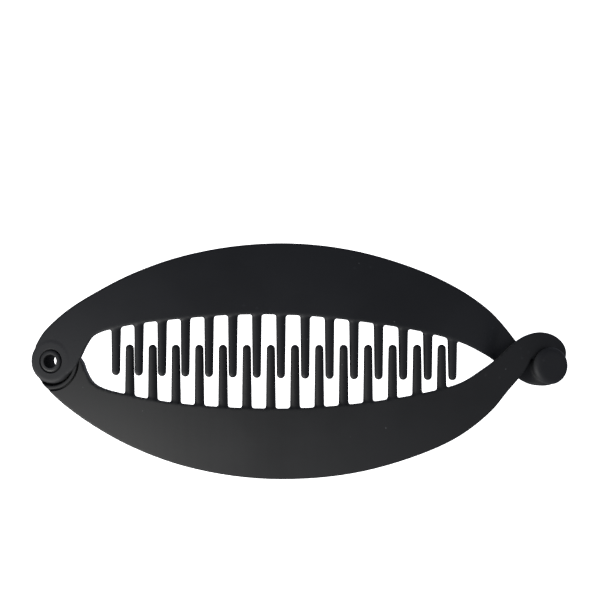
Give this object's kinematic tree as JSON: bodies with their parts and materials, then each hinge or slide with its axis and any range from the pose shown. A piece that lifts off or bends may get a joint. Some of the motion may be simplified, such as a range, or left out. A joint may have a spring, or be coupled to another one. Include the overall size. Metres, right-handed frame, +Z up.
{
  "type": "interlocking banana hair clip",
  "caption": "Oval crowned hair clip: two toothed arms turn on a hollow hinge eyelet, and a hook and a knobbed hook link to hold it shut.",
  "frame": {"origin": "On the surface that the clip lies on, under the middle of its bounding box", "axes": "+X from the hinge to the clasp, +Y from the lower arm to the upper arm, +Z up out of the crowned face"},
  "size_m": [0.1494, 0.0652, 0.0197],
  "materials": {
    "upper_arm": "black soft-touch coating, fine dull grain",
    "lower_arm": "black soft-touch coating, fine dull grain",
    "eyelet": "black, slightly shinier on its rolled lips"
  },
  "bodies": {
    "lower_half": {"lower_arm": "lower_arm", "hinge_eyelet": "eyelet"},
    "upper_half": {"upper_arm": "upper_arm"}
  },
  "joints": [
    {"name": "arm_hinge", "type": "hinge", "parent": "lower_half", "child": "upper_half", "pos_m": [-0.06879, -0.00005, 0.01027], "axis": [-0.2821, 0, 0.9594], "range_deg": [0, 145]}
  ]
}
